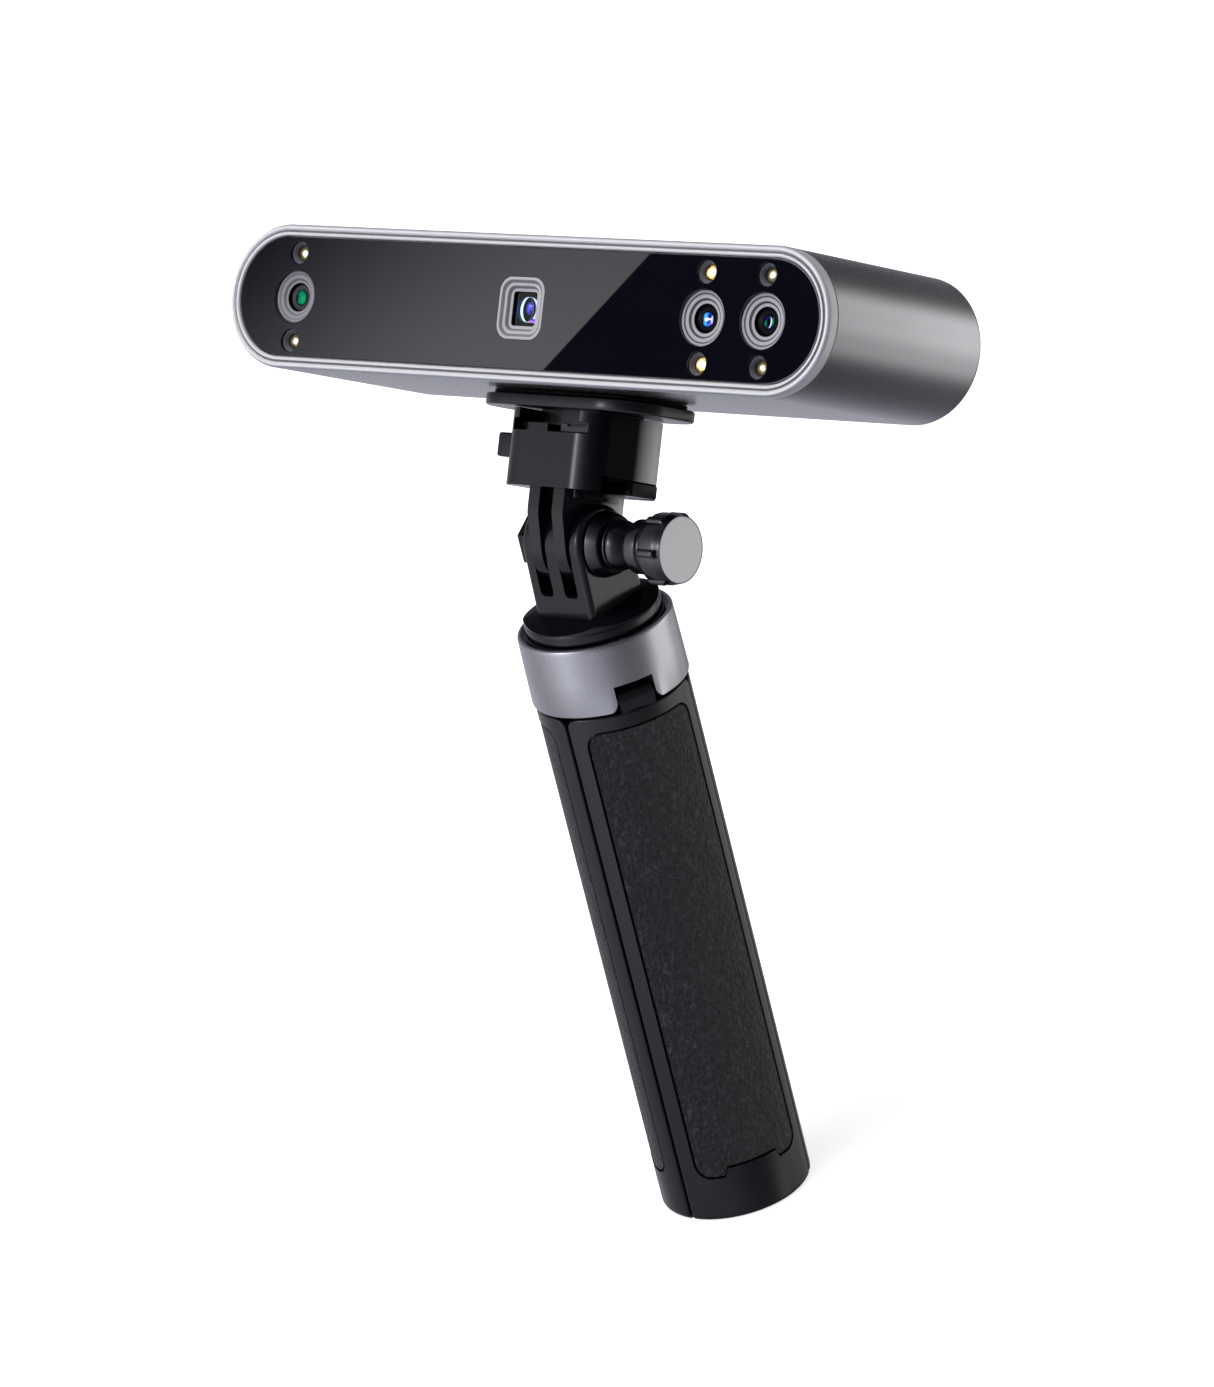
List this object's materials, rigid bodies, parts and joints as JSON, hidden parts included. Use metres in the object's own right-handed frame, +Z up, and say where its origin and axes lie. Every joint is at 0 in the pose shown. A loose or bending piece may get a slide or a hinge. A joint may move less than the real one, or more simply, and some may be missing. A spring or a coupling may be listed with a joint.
{
  "type": "handheld 3d scanner",
  "caption": "Handheld 3D scanner: a long round-ended bar with cameras and a projector behind a dark window, held by a quick-release tilt head on a round grip that opens into a small tripod.",
  "frame": {"origin": "centre of the closed handle's foot plane", "axes": "+Z up along the closed handle, +X along the scanner's length, -Y the side the scanner looks at; at rest the scanner leans 30.46 degrees about X towards +Y"},
  "size_m": [0.153, 0.065, 0.206],
  "materials": {
    "front_bezel": "satin",
    "body_shell": "bead-blasted anodised",
    "collar": "satin anodised",
    "optical_bench": "machined",
    "front_window": "polished",
    "rear_cover": "satin",
    "camera_module_1": "satin",
    "camera_module_2": "satin",
    "camera_module_3": "satin",
    "projector_module": "satin",
    "mount_plate": "satin",
    "clamp_body": "satin",
    "release_button": "satin",
    "lock_tab": "satin",
    "thumb_knob": "satin",
    "knob_washer": "satin",
    "three_prong_head": "satin",
    "hub_core": "satin",
    "scan_button": "satin",
    "camera_baffle_1": "matt",
    "camera_baffle_2": "matt",
    "camera_baffle_3": "matt",
    "projector_baffle": "matt",
    "leg_a": "satin",
    "leg_b": "satin",
    "leg_c": "satin",
    "leg_pad_a": "leather grain",
    "leg_pad_b": "leather grain",
    "leg_pad_c": "leather grain",
    "plate_pad": "matt",
    "camera_lens_1": "coated",
    "camera_lens_2": "coated",
    "camera_lens_3": "coated",
    "projector_lens": "coated",
    "led_1a": "moulded",
    "led_1b": "moulded",
    "led_2a": "moulded",
    "led_2b": "moulded",
    "led_3a": "moulded",
    "led_3b": "moulded",
    "status_light": "moulded",
    "main_pcb": "solder mask",
    "knob_face": "matt",
    "tripod_insert": "turned",
    "rear_screw_1": "plain",
    "rear_screw_2": "plain",
    "rear_screw_3": "plain",
    "rear_screw_4": "plain",
    "usb_port": "plain",
    "plate_screw": "plain",
    "release_spring": "plain",
    "stop_block": "plain",
    "hinge_bolt": "plain",
    "hinge_nut": "plain",
    "adapter_screw": "plain",
    "leg_pin_a": "plain",
    "leg_pin_b": "plain",
    "leg_pin_c": "plain"
  },
  "bodies": {
    "handle": {"hub_core": "hub_core", "collar": "collar", "three_prong_head": "three_prong_head", "adapter_screw": "adapter_screw", "hinge_nut": "hinge_nut", "leg_pin_a": "leg_pin_a", "leg_pin_b": "leg_pin_b", "leg_pin_c": "leg_pin_c"},
    "thumb_screw": {"hinge_bolt": "hinge_bolt", "knob_washer": "knob_washer", "thumb_knob": "thumb_knob", "knob_face": "knob_face"},
    "tilt_head": {"clamp_body": "clamp_body", "stop_block": "stop_block"},
    "scanner": {"front_bezel": "front_bezel", "front_window": "front_window", "body_shell": "body_shell", "rear_cover": "rear_cover", "rear_screw_1": "rear_screw_1", "rear_screw_2": "rear_screw_2", "rear_screw_3": "rear_screw_3", "rear_screw_4": "rear_screw_4", "usb_port": "usb_port", "status_light": "status_light", "main_pcb": "main_pcb", "optical_bench": "optical_bench", "tripod_insert": "tripod_insert", "camera_baffle_1": "camera_baffle_1", "camera_baffle_2": "camera_baffle_2", "camera_baffle_3": "camera_baffle_3", "camera_lens_1": "camera_lens_1", "camera_lens_2": "camera_lens_2", "camera_lens_3": "camera_lens_3", "camera_module_1": "camera_module_1", "camera_module_2": "camera_module_2", "camera_module_3": "camera_module_3", "led_1a": "led_1a", "led_1b": "led_1b", "led_2a": "led_2a", "led_2b": "led_2b", "led_3a": "led_3a", "led_3b": "led_3b", "projector_baffle": "projector_baffle", "projector_lens": "projector_lens", "projector_module": "projector_module", "mount_plate": "mount_plate", "plate_pad": "plate_pad", "plate_screw": "plate_screw"},
    "release": {"release_button": "release_button", "release_spring": "release_spring"},
    "lock": {"lock_tab": "lock_tab"},
    "button": {"scan_button": "scan_button"},
    "leg_a_body": {"leg_a": "leg_a", "leg_pad_a": "leg_pad_a"},
    "leg_b_body": {"leg_b": "leg_b", "leg_pad_b": "leg_pad_b"},
    "leg_c_body": {"leg_c": "leg_c", "leg_pad_c": "leg_pad_c"}
  },
  "joints": [
    {"name": "head_tilt", "type": "hinge", "parent": "handle", "child": "tilt_head", "pos_m": [0, 0, 0.1444], "axis": [1, 0, 0], "range_deg": [-54, 100], "stiffness_Nm_per_rad": 3},
    {"name": "thumb_screw_turn", "type": "hinge", "parent": "handle", "child": "thumb_screw", "pos_m": [0, 0, 0.1444], "axis": [1, 0, 0], "continuous": true},
    {"name": "plate_slide", "type": "slide", "parent": "tilt_head", "child": "scanner", "axis": [0, 0.862, -0.5069], "range_m": [0, 0.022], "stiffness_N_per_m": 1500},
    {"name": "release_press", "type": "slide", "parent": "tilt_head", "child": "release", "axis": [1, 0, 0], "range_m": [0, 0.0024], "stiffness_N_per_m": 150},
    {"name": "lock_slide", "type": "slide", "parent": "tilt_head", "child": "lock", "axis": [0, -0.862, 0.5069], "range_m": [0, 0.0072]},
    {"name": "scan_press", "type": "slide", "parent": "scanner", "child": "button", "axis": [0, -0.862, 0.5069], "range_m": [0, 0.0004], "stiffness_N_per_m": 60},
    {"name": "leg_a_spread", "type": "hinge", "parent": "handle", "child": "leg_a_body", "pos_m": [0.01178, -0.0068, 0.1151], "axis": [-0.5, -0.866, 0], "range_deg": [0, 35], "stiffness_Nm_per_rad": 0.05},
    {"name": "leg_b_spread", "type": "hinge", "parent": "handle", "child": "leg_b_body", "pos_m": [0, 0.0136, 0.1151], "axis": [1, 0, 0], "range_deg": [0, 35], "stiffness_Nm_per_rad": 0.05},
    {"name": "leg_c_spread", "type": "hinge", "parent": "handle", "child": "leg_c_body", "pos_m": [-0.01178, -0.0068, 0.1151], "axis": [-0.5, 0.866, 0], "range_deg": [0, 35], "stiffness_Nm_per_rad": 0.05}
  ]
}
